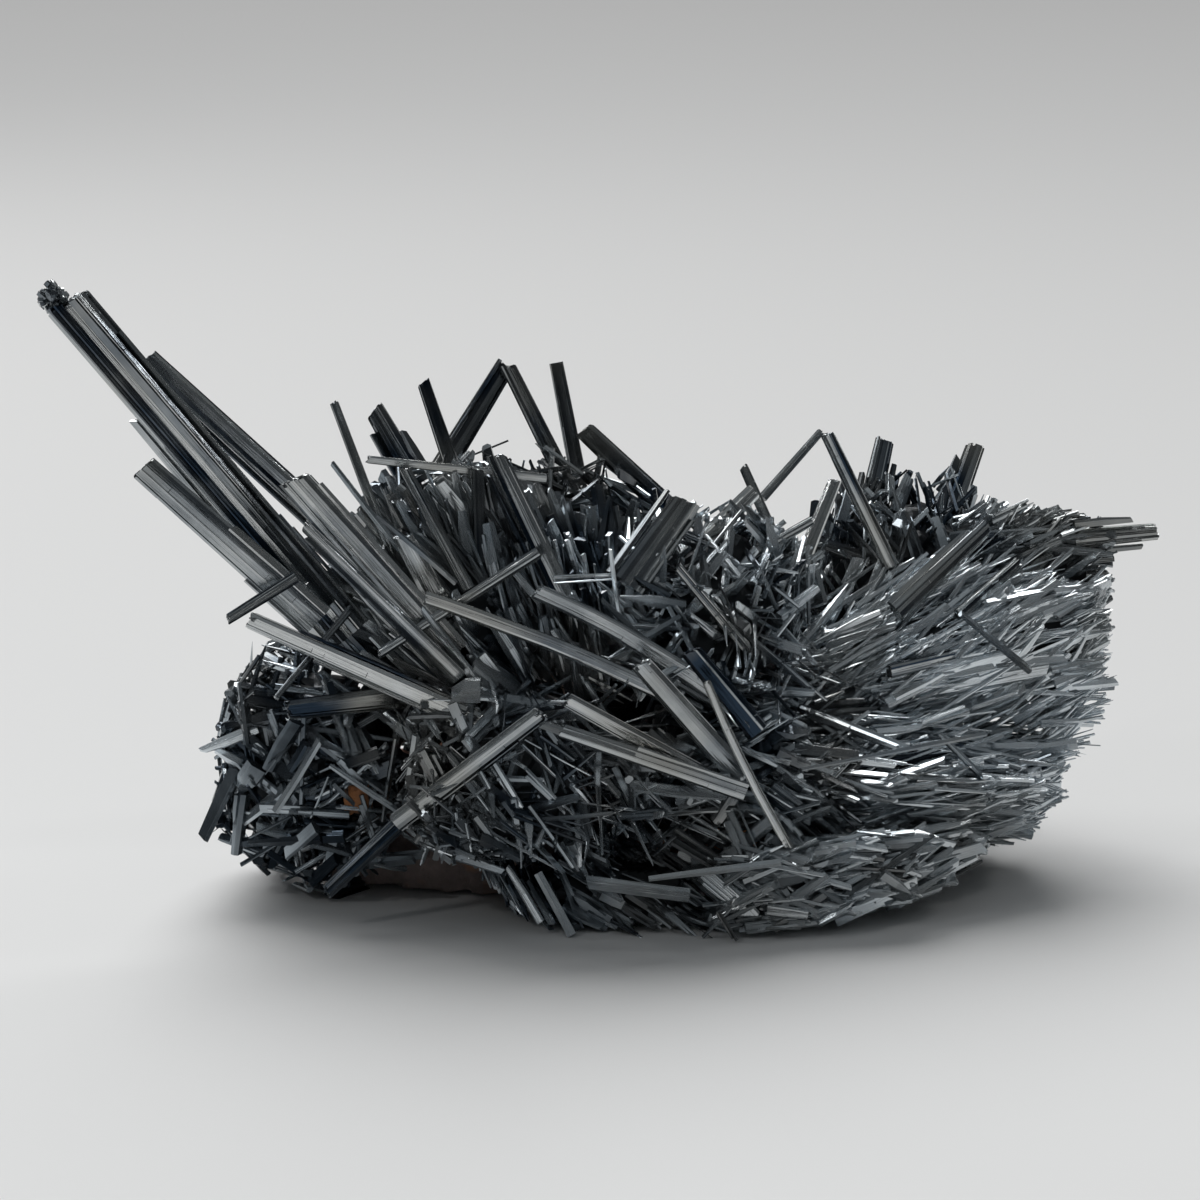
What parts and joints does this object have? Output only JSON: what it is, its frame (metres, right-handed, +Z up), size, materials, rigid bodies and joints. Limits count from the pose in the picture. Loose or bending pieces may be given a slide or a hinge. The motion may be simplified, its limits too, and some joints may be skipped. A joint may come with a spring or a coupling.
{
  "type": "stibnite crystal spray",
  "caption": "Spray of steel-grey striated blades and needles grown together on a small piece of rock, with one long spear at the left and a fanned bowl at the right.",
  "frame": {"origin": "middle of the base, on the surface the specimen rests on", "axes": "+X from the spear's side towards the fanned bowl, +Y towards the back crest, +Z up"},
  "size_m": [0.1046, 0.056, 0.0581],
  "materials": {
    "steel_crystal": "opaque, metallic lustre, lengthwise grooves, lead grey",
    "dark_crystal": "opaque, metallic lustre, dark blue-grey faces",
    "tarnished_crystal": "opaque, metallic lustre with a thin brownish tarnish",
    "needles": "opaque, metallic lustre, fine grooved needles",
    "rock": "dull, rough, pinkish brown with rusty patches"
  },
  "bodies": {
    "root": {"back_base_cluster": "needles", "back_right_cluster": "needles", "back_spike_left": "dark_crystal", "back_spike_right": "dark_crystal", "bowl_blade_lower": "tarnished_crystal", "bowl_blade_middle": "steel_crystal", "bowl_blade_outer": "steel_crystal", "bowl_blade_upper": "steel_crystal", "bowl_floor": "needles", "bowl_lower_wall": "needles", "bowl_wall": "needles", "bright_blade": "steel_crystal", "bright_sheaf_blade": "steel_crystal", "bright_thin_crystal": "steel_crystal", "centre_cluster": "needles", "chevron_left": "steel_crystal", "chevron_right": "steel_crystal", "crest_arch_left": "dark_crystal", "crest_arch_right": "dark_crystal", "crest_cluster": "needles", "crest_dark_block": "dark_crystal", "crest_post": "dark_crystal", "crest_slope_blade": "dark_crystal", "crest_spike": "dark_crystal", "crossing_rod": "steel_crystal", "crossing_splinter": "steel_crystal", "dark_blade": "dark_crystal", "dark_pair_blade": "dark_crystal", "fan_broad_blade": "steel_crystal", "fan_narrow_blade": "steel_crystal", "fan_slender_left": "steel_crystal", "fan_tall_blade": "steel_crystal", "fan_upright_blade": "steel_crystal", "foot_cluster": "needles", "front_blade_middle": "steel_crystal", "front_blade_upper": "steel_crystal", "front_cluster": "needles", "front_lip": "needles", "glinting_crystal": "steel_crystal", "left_lobe": "needles", "level_rod_behind": "steel_crystal", "long_bent_crystal": "steel_crystal", "long_brown_crystal": "tarnished_crystal", "low_dark_blade": "dark_crystal", "matrix_rock": "rock", "middle_fan": "needles", "rim_cluster": "needles", "rim_horn": "steel_crystal", "sheaf_blade": "steel_crystal", "short_post": "steel_crystal", "slanting_rod": "steel_crystal", "slanting_strut": "steel_crystal", "spear_back_blade": "steel_crystal", "spear_lower_blade": "tarnished_crystal", "spear_main": "steel_crystal", "thin_grooved_blade": "steel_crystal", "twin_dark_blade": "dark_crystal", "twin_grooved_blade": "steel_crystal", "vee_left_arm": "steel_crystal", "vee_right_arm": "steel_crystal"}
  },
  "joints": []
}
